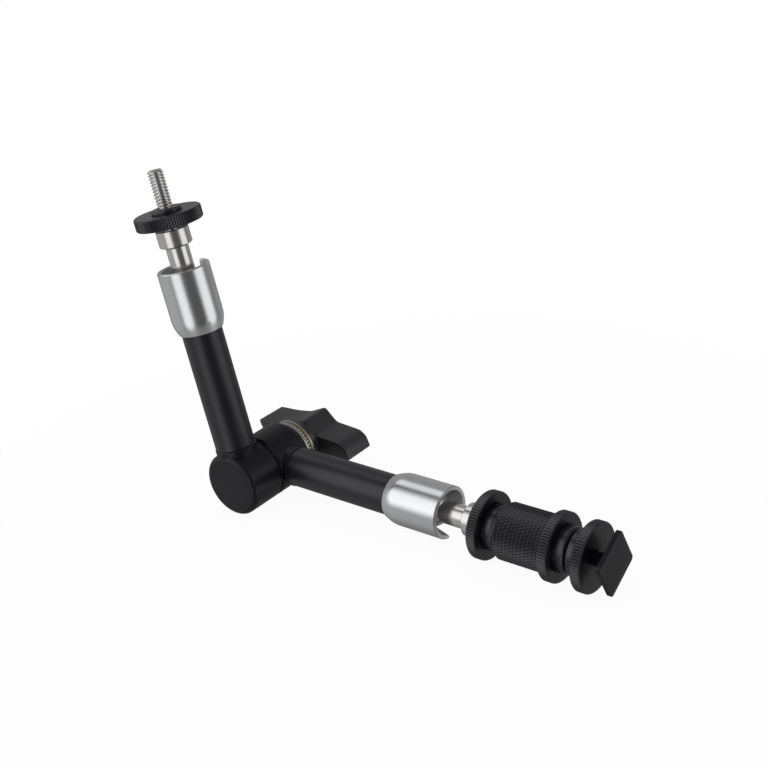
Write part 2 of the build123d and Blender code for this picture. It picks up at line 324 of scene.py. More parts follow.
def skin(name: str, points: np.ndarray, ends: Ends, worn_crest_highlight: np.ndarray | None = None) -> bpy.types.Object:
    """Joins a grid of points, rows by columns, into a closed mesh object.

    The quad at row i and column j runs (i, j), (i, j+1), (i+1, j+1), (i+1, j), so it faces away
    from the axis where the rows go up the line. The columns close on themselves.

    Args:
        name: The object's name.
        points: Rows by columns by 3, in metres.
        ends: How the first and last rows close.
        worn_crest_highlight: Rows by columns from 0 to 1, kept as the point attribute "wear".

    Returns:
        The object, linked to the scene.
    """
    rows, columns, _ = points.shape
    here = np.arange(columns)
    beside = (here + 1) % columns
    count = rows if ends is Ends.RING else rows - 1
    low = (np.arange(count) * columns)[:, None]
    high = ((np.arange(count) + 1) % rows * columns)[:, None]
    quads = np.stack([low + here, low + beside, high + beside, high + here], axis=-1).reshape(-1, 4)
    vertices = points.reshape(-1, 3)
    loops = quads.ravel()
    totals = np.full(len(quads), 4)
    shade = np.zeros(rows * columns) if worn_crest_highlight is None else worn_crest_highlight.ravel()
    if ends is Ends.POLES:
        poles = np.stack([points[0].mean(axis=0), points[-1].mean(axis=0)])
        first = np.full(columns, rows * columns)
        last = (rows - 1) * columns
        bottom = np.stack([first, beside, here], axis=-1)
        top = np.stack([first + 1, last + here, last + beside], axis=-1)
        vertices = np.concatenate([vertices, poles])
        loops = np.concatenate([loops, bottom.ravel(), top.ravel()])
        totals = np.concatenate([totals, np.full(2 * columns, 3)])
        shade = np.concatenate([shade, [0, 0]])
    starts = np.concatenate([[0], np.cumsum(totals)[:-1]])
    mesh = bpy.data.meshes.new(name)
    mesh.vertices.add(len(vertices))
    mesh.vertices.foreach_set("co", vertices.astype(np.float32).ravel())
    mesh.loops.add(len(loops))
    mesh.loops.foreach_set("vertex_index", loops.astype(np.int32))
    mesh.polygons.add(len(totals))
    mesh.polygons.foreach_set("loop_start", starts.astype(np.int32))
    mesh.polygons.foreach_set("loop_total", totals.astype(np.int32))
    mesh.update(calc_edges=True)
    mesh.validate()
    attribute = mesh.attributes.new("worn_crest_highlight", "FLOAT", "POINT")
    attribute.data.foreach_set("value", shade.astype(np.float32))
    mesh.shade_smooth()
    mesh.set_sharp_from_angle(angle=SHARP_ANGLE)
    return linked(name, mesh)


def linked(name: str, data: bpy.types.ID) -> bpy.types.Object:
    """Puts a new object in the scene.

    Args:
        name: The object's name.
        data: Its mesh, camera or lamp.

    Returns:
        The object.
    """
    thing = bpy.data.objects.new(name, data)
    bpy.context.scene.collection.objects.link(thing)
    return thing


class NodeCanvas:
    """Short calls for placing and joining shader nodes in one tree.

    An input is another node's output, which is joined, or a constant.
    """

    def __init__(self, tree: bpy.types.NodeTree) -> None:
        """Keeps the tree and empties it."""
        self.tree = tree
        tree.nodes.clear()

    def add(self, kind: str, inputs: dict | None = None, **settings: object) -> bpy.types.Node:
        """Adds a node.

        Args:
            kind: Its Blender type name.
            inputs: What its inputs get, by name or number.
            settings: Its own properties, set first because they decide which inputs it has.

        Returns:
            The node.
        """
        node = self.tree.nodes.new(kind)
        for key, value in settings.items():
            setattr(node, key, value)
        for key, value in (inputs or {}).items():
            if isinstance(value, Socket):
                self.tree.links.new(value, node.inputs[key])
            else:
                node.inputs[key].default_value = value
        return node

    def maths(self, operation: str, *inputs: object, clamp: bool = False) -> Socket:
        """The result of a Math node."""
        numbered = dict(enumerate(inputs))
        return self.add("ShaderNodeMath", numbered, operation=operation, use_clamp=clamp).outputs[0]

    def vector(self, operation: str, *inputs: object) -> Socket:
        """The result of a Vector Math node, a number for a length or dot product."""
        node = self.add("ShaderNodeVectorMath", dict(enumerate(inputs)), operation=operation)
        return node.outputs["Value" if operation in ("LENGTH", "DOT_PRODUCT") else "Vector"]

    def smooth_step(self, value: Socket, start: float, end: float, top: float = 1.0) -> Socket:
        """A smooth rise from 0 at one value to the top at another."""
        inputs = {"Value": value, "From Min": start, "From Max": end, "To Max": top}
        return self.add("ShaderNodeMapRange", inputs, interpolation_type="SMOOTHSTEP").outputs["Result"]

    def mix_colours(self, factor: Socket, first: Socket | Colour, second: Colour) -> Socket:
        """Mixes two colours.

        Args:
            factor: 0 gives the first colour and 1 the second.
            first: The first colour, joined or constant.
            second: The second colour.

        Returns:
            The mixed colour.
        """
        start = first if isinstance(first, Socket) else (*first, 1)
        inputs = {"Factor": factor, "A": start, "B": (*second, 1)}
        return self.add("ShaderNodeMix", inputs, data_type="RGBA").outputs["Result"]

    def mix_shaders(self, factor: Socket, first: Socket, second: Socket) -> Socket:
        """The first shader at a factor of 0 and the second at 1."""
        return self.add("ShaderNodeMixShader", {0: factor, 1: first, 2: second}).outputs[0]

    def bump(self, height: Socket, distance: float, **below: Socket) -> Socket:
        """The normal of a relief, over the one below it where that is given as Normal."""
        inputs = {"Height": height, "Strength": 1.0, "Distance": distance, **below}
        return self.add("ShaderNodeBump", inputs).outputs["Normal"]


class EffectGroup(NodeCanvas):
    """A shader node group with named vector and number inputs and number outputs."""

    def __init__(self, name: str, vectors: list[str], numbers: list[str], results: list[str]) -> None:
        """Makes the group's sockets and the node that gives its inputs.

        Args:
            name: The group's name.
            vectors: Names of its vector inputs.
            numbers: Names of its number inputs.
            results: Names of its outputs.
        """
        super().__init__(bpy.data.node_groups.new(name, "ShaderNodeTree"))
        for labels, way, kind in (
            (vectors, "INPUT", "NodeSocketVector"),
            (numbers, "INPUT", "NodeSocketFloat"),
            (results, "OUTPUT", "NodeSocketFloat"),
        ):
            for label in labels:
                self.tree.interface.new_socket(label, in_out=way, socket_type=kind)
        self.given = self.add("NodeGroupInput").outputs

    def finish(self, results: dict[str, Socket]) -> bpy.types.NodeTree:
        """Joins the group's outputs and returns its tree."""
        self.add("NodeGroupOutput", results)
        return self.tree


def turning_rings() -> bpy.types.NodeTree:
    """Rings left by a lathe, noise along the axis alone: fine as height, coarse as tone."""
    group = EffectGroup("turning_rings", ["Point", "Axis"], ["Rings per mm"], ["Height", "Tone"])
    station = group.vector("DOT_PRODUCT", group.given["Point"], group.given["Axis"])
    station = group.maths("MULTIPLY", station, 1 / MM)
    rings = group.maths("MULTIPLY", station, group.given["Rings per mm"])
    noise = "ShaderNodeTexNoise"
    fine = group.add(noise, {"W": rings, "Scale": 1.0, "Detail": 3.0}, noise_dimensions="1D")
    coarse = group.add(noise, {"W": station, "Scale": 0.35, "Detail": 1.0}, noise_dimensions="1D")
    return group.finish({"Height": fine.outputs[0], "Tone": coarse.outputs[0]})


def fine_grain() -> bpy.types.NodeTree:
    """Fine even grain in three directions, as height."""
    group = EffectGroup("fine_grain", ["Point"], ["Grains per mm"], ["Height"])
    scale = group.maths("MULTIPLY", group.given["Grains per mm"], 1 / MM)
    inputs = {"Vector": group.given["Point"], "Scale": scale, "Detail": 2.0, "Roughness": 0.6}
    return group.finish({"Height": group.add("ShaderNodeTexNoise", inputs).outputs[0]})


def handling() -> bpy.types.NodeTree:
    """Where hands have left a trace: soft patches from 0 to 1."""
    group = EffectGroup("handling", ["Point"], ["Patches per mm"], ["Mask"])
    scale = group.maths("MULTIPLY", group.given["Patches per mm"], 1 / MM)
    inputs = {"Vector": group.given["Point"], "Scale": scale, "Detail": 4.0, "Roughness": 0.55}
    noise = group.add("ShaderNodeTexNoise", {**inputs, "Distortion": 0.4})
    return group.finish({"Mask": group.smooth_step(noise.outputs[0], 0.35, 0.7)})


def bore_and_taper() -> bpy.types.NodeTree:
    """Which of two zones of a collar a point is in, by its distance from the axis.

    Bore is 1 nearer to the axis than the bore's radius. Taper rises from 0 at the taper's
    radius to 1 where the collar is slimmer by the taper's run.
    """
    numbers = ["Bore radius", "Taper radius", "Taper run"]
    group = EffectGroup("bore_and_taper", ["Point", "Origin", "Axis"], numbers, ["Bore", "Taper"])
    given = group.given
    offset = group.vector("SUBTRACT", given["Point"], given["Origin"])
    radius = group.vector("LENGTH", group.vector("CROSS_PRODUCT", offset, given["Axis"]))
    bore = group.maths("LESS_THAN", radius, given["Bore radius"])
    inset = group.maths("SUBTRACT", given["Taper radius"], radius)
    taper = group.maths("DIVIDE", inset, given["Taper run"], clamp=True)
    return group.finish({"Bore": bore, "Taper": taper})


class SurfaceEffects:
    """The shader node groups that the finishes share, each built once."""

    def __init__(self) -> None:
        """Builds the groups."""
        self.turning_rings = turning_rings()
        self.fine_grain = fine_grain()
        self.handling = handling()
        self.bore_and_taper = bore_and_taper()


@dataclass(frozen=True)
class Relief:
    """A fine pattern: its marks to a millimetre, and their height in millimetres."""

    per_mm: float
    height: float


@dataclass(frozen=True)
class CollarZones:
    """What sets a collar's bore and taper apart: a bore darkened by painted shade, and a rougher taper."""

    bore_r: float
    bore_colour: Colour
    taper_r: float
    taper_run: float
    taper_roughness: float


@dataclass(frozen=True)
class Finish:
    """One surface finish. Colours are linear, and roughness runs from 0 to 1.

    Each pair of colours or roughnesses is for untouched and for handled patches. A finish with
    no slot of its own has the record's slot of its name.
    """

    name: str
    colours: tuple[Colour, Colour]
    roughness: tuple[float, float]
    rings: Relief
    grain: Relief
    metallic: float = 0.0
    specular: float = 0.5
    specular_tint: Colour = (1.0, 1.0, 1.0)
    # Crest colour: partly wear, partly a painted highlight on the crests.
    worn_colour: Colour | None = None
    zones: CollarZones | None = None
    own_slot: str | None = None
    patches_per_mm: float = 0.06

    @property
    def slot(self) -> str:
        """The record's material slot."""
        return self.own_slot or self.name

    def material(self, effects: SurfaceEffects, line: TurningLine) -> bpy.types.Material:
        """The finish for pieces turned about one line, made once.

        Args:
            effects: The shared node groups.
            line: The line that the turning marks and the bore are about.

        Returns:
            The material.
        """
        axis = line.along.tolist()
        label = f"{self.name}_{'_'.join(str(round(part * 100)) for part in axis)}"
        found = bpy.data.materials.get(label)
        if found is not None:
            return found
        material = bpy.data.materials.new(label)
        material.use_nodes = True
        canvas = NodeCanvas(material.node_tree)
        point = canvas.add("ShaderNodeTexCoord").outputs["Object"]

        def effect(tree: bpy.types.NodeTree, inputs: dict) -> bpy.types.bpy_prop_collection:
            """The outputs of a shared effect placed in this material."""
            return canvas.add("ShaderNodeGroup", {"Point": point, **inputs}, node_tree=tree).outputs

        rings = effect(effects.turning_rings, {"Axis": axis, "Rings per mm": self.rings.per_mm})
        grain = effect(effects.fine_grain, {"Grains per mm": self.grain.per_mm})
        handled = effect(effects.handling, {"Patches per mm": self.patches_per_mm})["Mask"]
        colour = canvas.mix_colours(handled, *self.colours)
        # Crests get a lighter colour: partly wear, partly a painted highlight.
        if self.worn_colour is not None:
            crest = canvas.add("ShaderNodeAttribute", attribute_name="worn_crest_highlight").outputs["Fac"]
            colour = canvas.mix_colours(crest, colour, self.worn_colour)
        half_tone = canvas.maths("MULTIPLY", rings["Tone"], 0.5)
        half_handled = canvas.maths("MULTIPLY", handled, 0.5)
        blend = canvas.maths("ADD", half_tone, half_handled)
        span = {"Value": blend, "To Min": self.roughness[0], "To Max": self.roughness[1]}
        roughness = canvas.add("ShaderNodeMapRange", span).outputs["Result"]
        if self.zones is not None:
            place = {"Origin": (line.origin * MM).tolist(), "Axis": axis}
            sizes = {
                "Bore radius": self.zones.bore_r * MM,
                "Taper radius": self.zones.taper_r * MM,
                "Taper run": self.zones.taper_run * MM,
            }
            zone = effect(effects.bore_and_taper, {**place, **sizes})
            # Painted shade: the collar's inside gets a darker grey where shadow falls in it.
            colour = canvas.mix_colours(zone["Bore"], colour, self.zones.bore_colour)
            roughness = canvas.maths("MULTIPLY_ADD", zone["Taper"], self.zones.taper_roughness, roughness)
        ringed = canvas.bump(rings["Height"], self.rings.height * MM)
        normal = canvas.bump(grain["Height"], self.grain.height * MM, Normal=ringed)
        shader = canvas.add(
            "ShaderNodeBsdfPrincipled",
            {
                "Base Color": colour,
                "Metallic": self.metallic,
                "Roughness": roughness,
                "Specular IOR Level": self.specular,
                "Specular Tint": (*self.specular_tint, 1),
                "Normal": normal,
            },
        )
        canvas.add("ShaderNodeOutputMaterial", {"Surface": shader.outputs[0]})
        return material


BLACK_ANODISED = Finish(
    "black_anodised",
    colours=((0.0056, 0.0053, 0.0074), (0.0072, 0.0069, 0.0092)),
    roughness=(0.32, 0.40),
    rings=Relief(5, 0.002),
    grain=Relief(9, 0.003),
    specular=0.62,
    specular_tint=(0.97, 0.93, 1.0),
    own_slot="black_anodised",
)
BLACK_DULL = replace(
    BLACK_ANODISED,
    name="black_dull",
    colours=((0.0050, 0.0048, 0.0064), (0.0064, 0.0061, 0.0082)),
    roughness=(0.34, 0.42),
    specular=0.34,
)
BLACK_KNURLED = replace(
    BLACK_ANODISED,
    name="black_knurled",
    colours=((0.0044, 0.0042, 0.0060), (0.0058, 0.0056, 0.0074)),
    roughness=(0.22, 0.30),
    specular=0.78,
    # Lighter crests: wear and a painted highlight.
    worn_colour=(0.012, 0.0118, 0.014),
)
BLACK_DIAMOND = replace(
    BLACK_KNURLED,
    name="black_diamond",
    specular=0.62,
    # Lighter crests: wear and a painted highlight.
    worn_colour=(0.0065, 0.0064, 0.008),
)
TURNED_ALUMINIUM = Finish(
    "turned_aluminium",
    colours=((0.76, 0.765, 0.775), (0.73, 0.735, 0.745)),
    roughness=(0.17, 0.23),
    rings=Relief(7, 0.003),
    grain=Relief(14, 0.0006),
    metallic=1.0,
    # The bore's darker grey is painted shade inside the collar.
    zones=CollarZones(
        bore_r=9.2, bore_colour=(0.40, 0.40, 0.405), taper_r=10.8, taper_run=0.6, taper_roughness=0.20
    ),
)
POLISHED_STEEL = Finish(
    "polished_steel",
    colours=((0.74, 0.73, 0.715), (0.70, 0.69, 0.675)),
    roughness=(0.14, 0.22),
    rings=Relief(6, 0.0015),
    grain=Relief(14, 0.0005),
    metallic=1.0,
)
WASHER_STEEL = Finish(
    "washer_steel",
    colours=((0.52, 0.51, 0.49), (0.46, 0.45, 0.43)),
    roughness=(0.30, 0.38),
    rings=Relief(5, 0.002),
    grain=Relief(10, 0.001),
    metallic=1.0,
)
CAGE_BRASS = Finish(
    "cage_brass",
    colours=((0.56, 0.50, 0.36), (0.48, 0.42, 0.30)),
    roughness=(0.30, 0.42),
    rings=Relief(5, 0.002),
    grain=Relief(10, 0.002),
    metallic=1.0,
)
KNOB_PLASTIC = Finish(
    "knob_plastic",
    colours=((0.022, 0.0216, 0.0255), (0.026, 0.0256, 0.0295)),
    roughness=(0.36, 0.44),
    rings=Relief(0.5, 0.0),
    grain=Relief(4, 0.010),
    specular=0.55,
)
SEAT_PLASTIC = Finish(
    "seat_plastic",
    colours=((0.72, 0.71, 0.68), (0.68, 0.67, 0.64)),
    roughness=(0.38, 0.46),
    rings=Relief(4, 0.002),
    grain=Relief(6, 0.004),
)


class Workshop:
    """What every sub-assembly needs: the frame's nodes, its lines and the surface effects."""

    def __init__(self, frame: dict) -> None:
        """Takes the arm's lines from the frame's joints.
        """
        self.nodes = frame["nodes"]
        self.effects = SurfaceEffects()
        self.pivot = joint_line(frame, "elbow_fold", 0.0, (1, 0, 0))
        self.upper = joint_line(frame, "upper_ball_pan", BallStud.ball_station, (0, 1, 0))
        self.lower = joint_line(frame, "lower_ball_pan", BallStud.ball_station, (0, 1, 0))

    def dress(self, piece: bpy.types.Object, finish: Finish, line: TurningLine) -> None:
        """Gives a piece its finish, with the turning marks about a line."""
        piece.data.materials.clear()
        piece.data.materials.append(finish.material(self.effects, line))

    def keep(self, node: str, finish: Finish, line: TurningLine) -> None:
        """Keeps a CAD node's shape and gives it a finish."""
        self.dress(self.nodes[node], finish, line)
        log.info("%s keeps its shape, in %s", node, finish.name)

    def stand_for(
        self, node: str, body: str, piece: bpy.types.Object, finish: Finish, line: TurningLine
    ) -> None:
        """Puts a new piece in a CAD node's place.

        Args:
            node: The CAD node that it stands for.
            body: The body that it rides on.
            piece: The new piece.
            finish: Its finish.
            line: The line that its turning marks are about.
        """
        self.dress(piece, finish, line)
        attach(piece, body)
        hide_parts(node)
        log.info("%s stands for %s on %s, %d faces", piece.name, node, body, len(piece.data.polygons))


@dataclass
class TurnedPiece:
    """A turned piece with a thread or knurl cut into it, which stands for a CAD node.

    At an angle t and station s the radius is the smaller of the outline's radius and what the
    cutter leaves at (t, s). The point lies at that radius times the cosine of t across, times
    the sine of t to the side, and s along the line. Rows are no further apart than the step.
    """

    made: ClassVar[str]
    finish: ClassVar[Finish]
    ends: ClassVar[Ends]
    columns: ClassVar[int]
    step: ClassVar[float]

    name: str
    body: str
    line: TurningLine

    def outline(self) -> Outline:
        """Corners of the outline, going up the outside."""
        raise NotImplementedError

    def cutter(self) -> Cutter:
        """The thread or knurl."""
        raise NotImplementedError

    def build(self, shop: Workshop) -> None:
        """Makes the piece, its crests beside the cut lighter for wear and a painted highlight, and puts it
        in its node's place.

        Args:
            shop: The arm's workshop.
        """
        radii, stations = subdivide(self.outline(), self.step)
        angles = angles_round(self.columns)
        left = self.cutter().left(angles, stations)
        clearance = left - radii
        # Crests left standing beside the cut: lighter for wear and a painted highlight.
        worn_crest_highlight = (clearance >= -CREST_DROP) & (clearance < -clearance.min())
        points = self.line.around(np.minimum(radii, left), angles, stations)
        piece = skin(f"{self.name}_{self.made}", points, self.ends, worn_crest_highlight)
        shop.stand_for(self.name, self.body, piece, self.finish, self.line)


@dataclass
class BallStud(TurnedPiece):
    """A ball stud: ball, neck, shoulder and a 1/4 inch thread, turned from one steel bar."""

    made = "turned"
    finish = POLISHED_STEEL
    ends = Ends.POLES
    columns = 72
    step = 0.106

    ball_station: float = 86.4
    ball_r: float = 7.6
    ball_start_deg: float = -89.0
    ball_parts: int = 40
    neck_r: float = 4.7
    fillet_r: float = 1.0
    fillet_parts: int = 5
    shoulder_r: float = 6.8
    shoulder_edge: float = 0.3
    shoulder_start: float = 104.4
    shoulder_end: float = 111.4
    seat_r: float = 2.95
    free_start: float = 120.1
    thread_r: float = 3.175
    thread_end: float = 135.2
    thread_chamfer: float = 0.7
    thread_gap: float = 0.3
    thread_depth: float = 0.76
    pitch: float = 1.27
    tip_middle_r: float = 0.6

    def outline(self) -> Outline:
        """Corners from the ball's pole to the thread's tip."""
        meet = math.degrees(math.acos(self.neck_r / self.ball_r))
        bend = self.fillet_r
        edge = self.shoulder_edge
        return [
            *arc((0, self.ball_station), self.ball_r, self.ball_start_deg, meet, self.ball_parts),
            *arc((self.neck_r + bend, self.shoulder_start - bend), bend, 180, 90, self.fillet_parts),
            *band(self.shoulder_r, self.shoulder_start, self.shoulder_end, edge, edge),
            (self.seat_r, self.shoulder_end),
            (self.seat_r, self.free_start),
            (self.thread_r, self.free_start),
            (self.thread_r, self.thread_end - self.thread_chamfer),
            (self.thread_r - self.thread_chamfer, self.thread_end),
            (self.tip_middle_r, self.thread_end),
        ]

    def cutter(self) -> Cutter:
        """The thread, from just past the shoulder to the tip."""
        start = self.shoulder_end + self.thread_gap
        return ThreadCut(self.thread_r, self.thread_depth, start, self.thread_end, self.pitch)


@dataclass
class KnurledNut(TurnedPiece):
    """A round nut: a wide rim with straight teeth, and a narrower rounded hub."""

    made = "knurled"
    finish = BLACK_KNURLED
    ends = Ends.RING
    columns = 432
    step = 0.55

    rim_start: float
    facing: Facing = Facing.OUTWARD
    rim: float = 4.2
    hub_r: float = 9.5
    hub: float = 4.8
    rim_r: float = 13.8
    bore_r: float = 3.235
    rim_chamfer: float = 0.5
    hub_round: float = 1.2
    hub_round_share: float = 0.6
    hub_round_parts: int = 6
    groove: float = 0.6
    groove_depth: float = 0.6
    teeth: int = 72
    tooth_depth: float = 0.42

    def outline(self) -> Outline:
        """Corners from bore to bore, first counted from the rim's face to the hub's.

        A hub that is long enough has a groove at its foot. A short one has a smaller rounding.
        """
        hub_end = self.rim + self.hub
        bend = min(self.hub_round, self.hub * self.hub_round_share)
        corners = [
            (self.bore_r, 0.0),
            *band(self.rim_r, 0.0, self.rim, self.rim_chamfer, self.rim_chamfer),
        ]
        if self.hub > 2 * self.groove:
            corners += [
                (self.hub_r - self.groove_depth, self.rim),
                (self.hub_r - self.groove_depth, self.rim + self.groove),
                (self.hub_r, self.rim + self.groove),
            ]
        else:
            corners.append((self.hub_r, self.rim))
        corners += arc((self.hub_r - bend, hub_end - bend), bend, 0, 90, self.hub_round_parts)
        corners.append((self.bore_r, hub_end))
        sign = self.facing.value
        return [(radius, self.rim_start + sign * station) for radius, station in corners[::sign]]

    def cutter(self) -> Cutter:
        """The rim's teeth."""
        low, high = sorted((self.rim_start, self.rim_start + self.facing.value * self.rim))
        return StraightKnurl(self.rim_r, self.tooth_depth, low, high, self.teeth)


@dataclass
class LockDisc(KnurledNut):
    """The upper stud's lock disc, with a thicker rim and a low narrow hub."""

    rim_start: float = 113.1
    rim: float = 5.2
    hub_r: float = 6.5
    hub: float = 1.5


@dataclass
class Sleeve(TurnedPiece):
    """The adapter's sleeve, diamond knurled from its plain lead to its end."""

    made = "knurled"
    finish = BLACK_DIAMOND
    ends = Ends.RING
    columns = 432
    step = 0.29

    start: float = 120.6
    length: float = 22.1
    radius: float = 11.5
    bore_r: float = 3.235
    lead_r: float = 10.2
    lead: float = 1.2
    lead_edge: float = 0.6
    edge: float = 0.4
    starts: int = 54
    helix_deg: float = 22.0
    depth: float = 0.52

    def outline(self) -> Outline:
        """Corners from bore to bore."""
        end = self.start + self.length
        lead_end = self.start + self.lead
        return [
            (self.bore_r, self.start),
            (self.lead_r, self.start),
            (self.lead_r, lead_end),
            *band(self.radius, lead_end, end, self.lead_edge, self.edge),
            (self.bore_r, end),
        ]

    def cutter(self) -> Cutter:
        """The diamond knurl."""
        start = self.start + self.lead
        end = self.start + self.length
        return DiamondKnurl(self.radius, self.depth, start, end, self.starts, self.helix_deg)


@dataclass
class ShoeFoot:
    """The square shoe foot with its threaded stud, as one piece.

    Each ring of the foot is a square with rounded corners.
    """

    line: TurningLine
    inner_face: float = 166.7
    thick: float = 2.0
    side: float = 18.6
    corner_r: float = 1.5
    corner_loss: float = 0.4
    inner_edge: float = 0.15
    edge: float = 0.3
    edge_bulge: float = 0.3
    face_rings: tuple[float, float] = (0.22, 0.4)
    turn_deg: float = 26.8
    stud_start: float = 136.7
    stud_r: float = 3.175
    stud_chamfer: float = 0.7
    thread_stop: float = 1.4
    thread_depth: float = 0.76
    pitch: float = 1.27
    columns: int = 96
    step: float = 0.106

    def square_radius(self, angles: np.ndarray, inset: float) -> np.ndarray:
        """Distance from the axis to the rounded square's edge.

        Within a corner's span the edge is the corner's circle, found from the ray's distance
        to the circle's centre, and elsewhere it is the half side over the cosine.

        Args:
            angles: Angles from the across direction.
            inset: How far the edge is drawn in. A corner's radius loses a share of it.

        Returns:
            The distances.
        """
        eighth = np.pi / 4
        half = self.side / 2 - inset
        bend = self.corner_r - inset * self.corner_loss
        folded = np.abs((angles - math.radians(self.turn_deg) + eighth) % (2 * eighth) - eighth)
        centre = half - bend
        reach = centre * math.sqrt(2)
        off = eighth - folded
        corner = reach * np.cos(off) + np.sqrt(np.maximum(bend**2 - (reach * np.sin(off)) ** 2, 0))
        flat = half / np.cos(folded)
        return np.where(np.tan(folded) * half > centre, corner, flat)

    def build(self, shop: Workshop) -> None:
        """Makes the foot and puts it in its node's place.

        Args:
            shop: The arm's workshop.
        """
        stud = [
            (self.stud_r - self.stud_chamfer, self.stud_start),
            (self.stud_r, self.stud_start + self.stud_chamfer),
            (self.stud_r, self.inner_face),
        ]
        radii, stations = subdivide(stud, self.step)
        angles = angles_round(self.columns)
        thread_end = self.inner_face - self.thread_stop
        thread = ThreadCut(self.stud_r, self.thread_depth, self.stud_start, thread_end, self.pitch)
        outer = self.inner_face + self.thick
        bulge = self.edge * self.edge_bulge
        layers = [
            (self.inner_edge, self.inner_face),
            (0.0, self.inner_face + self.inner_edge),
            (0.0, outer - self.edge),
            (bulge, outer - bulge),
            (self.edge, outer),
            *((self.side * share, outer) for share in self.face_rings),
        ]
        foot = [self.square_radius(angles, inset) for inset, _ in layers]
        radius = np.concatenate([np.minimum(radii, thread.left(angles, stations)), *foot])
        station = np.concatenate([stations, [[station] for _, station in layers]])
        piece = skin("shoe_foot_threaded", self.line.around(radius, angles, station), Ends.POLES)
        shop.stand_for("shoe_foot", "foot", piece, BLACK_DULL, self.line)


@dataclass
class ShoeAdapter:
    """The lower arm's end: lock nut, sleeve, jam nut, clamp nut and foot."""

    line: TurningLine
    lock_rim: float = 111.5
    jam_rim: float = 142.8
    clamp_rim: float = 160.9

    def build(self, shop: Workshop) -> None:
        """Builds the adapter's pieces in order along the arm.

        Args:
            shop: The arm's workshop.
        """
        KnurledNut("lower_lock_nut", "lock_nut", self.line, self.lock_rim).build(shop)
        Sleeve("adapter_sleeve", "sleeve", self.line).build(shop)
        KnurledNut("adapter_jam_nut", "jam_nut", self.line, self.jam_rim).build(shop)
        KnurledNut("shoe_clamp_nut", "clamp_nut", self.line, self.clamp_rim, Facing.INWARD).build(shop)
        ShoeFoot(self.line).build(shop)


@dataclass
class ThrustCage(TurnedPiece):
    """The brass cage between the two thrust washers, with a notch for each needle."""

    made = "notched"
    finish = CAGE_BRASS
    ends = Ends.RING
    columns = 352
    step = 0.45

    outer_r: float = 12.0
    bore_r: float = 4.2
    edge: float = 0.15
    start: float = 19.9
    end: float = 21.7
    notches: int = 44
    notch_depth: float = 0.45
    notch_land: float = 0.35

    def outline(self) -> Outline:
        """Corners from bore to bore."""
        side = band(self.outer_r, self.start, self.end, self.edge, self.edge)
        return [(self.bore_r, self.start), *side, (self.bore_r, self.end)]

    def cutter(self) -> Cutter:
        """The notches."""
        depth, land = self.notch_depth, self.notch_land
        return StraightKnurl(self.outer_r, depth, self.start, self.end, self.notches, land)


@dataclass
class DrawBolt(TurnedPiece):
    """The bolt through the elbow, with its cone head and the M8 thread under the knob."""

    made = "threaded"
    finish = POLISHED_STEEL
    ends = Ends.POLES
    columns = 72
    step = 0.11

    front: float = -15.5
    head_r: float = 7.4
    head_chamfer: float = 0.5
    shank_r: float = 4.0
    cone_base: float = -13.2
    cone_end: float = -6.4
    thread_start: float = 20.0
    end: float = 41.0
    edge: float = 0.8
    middle_r: float = 0.8
    pitch: float = 1.25
    thread_depth: float = 0.6

    def outline(self) -> Outline:
        """Corners from the head's face to the thread's end."""
        return [
            (self.middle_r, self.front),
            (self.head_r - self.head_chamfer, self.front),
            (self.head_r, self.front + self.head_chamfer),
            (self.head_r, self.cone_base),
            (self.shank_r, self.cone_end),
            (self.shank_r, self.end - self.edge),
            (self.shank_r - self.edge, self.end),
            (self.middle_r, self.end),
        ]

    def cutter(self) -> Cutter:
        """The M8 thread."""
        return ThreadCut(self.shank_r, self.thread_depth, self.thread_start, self.end, self.pitch)


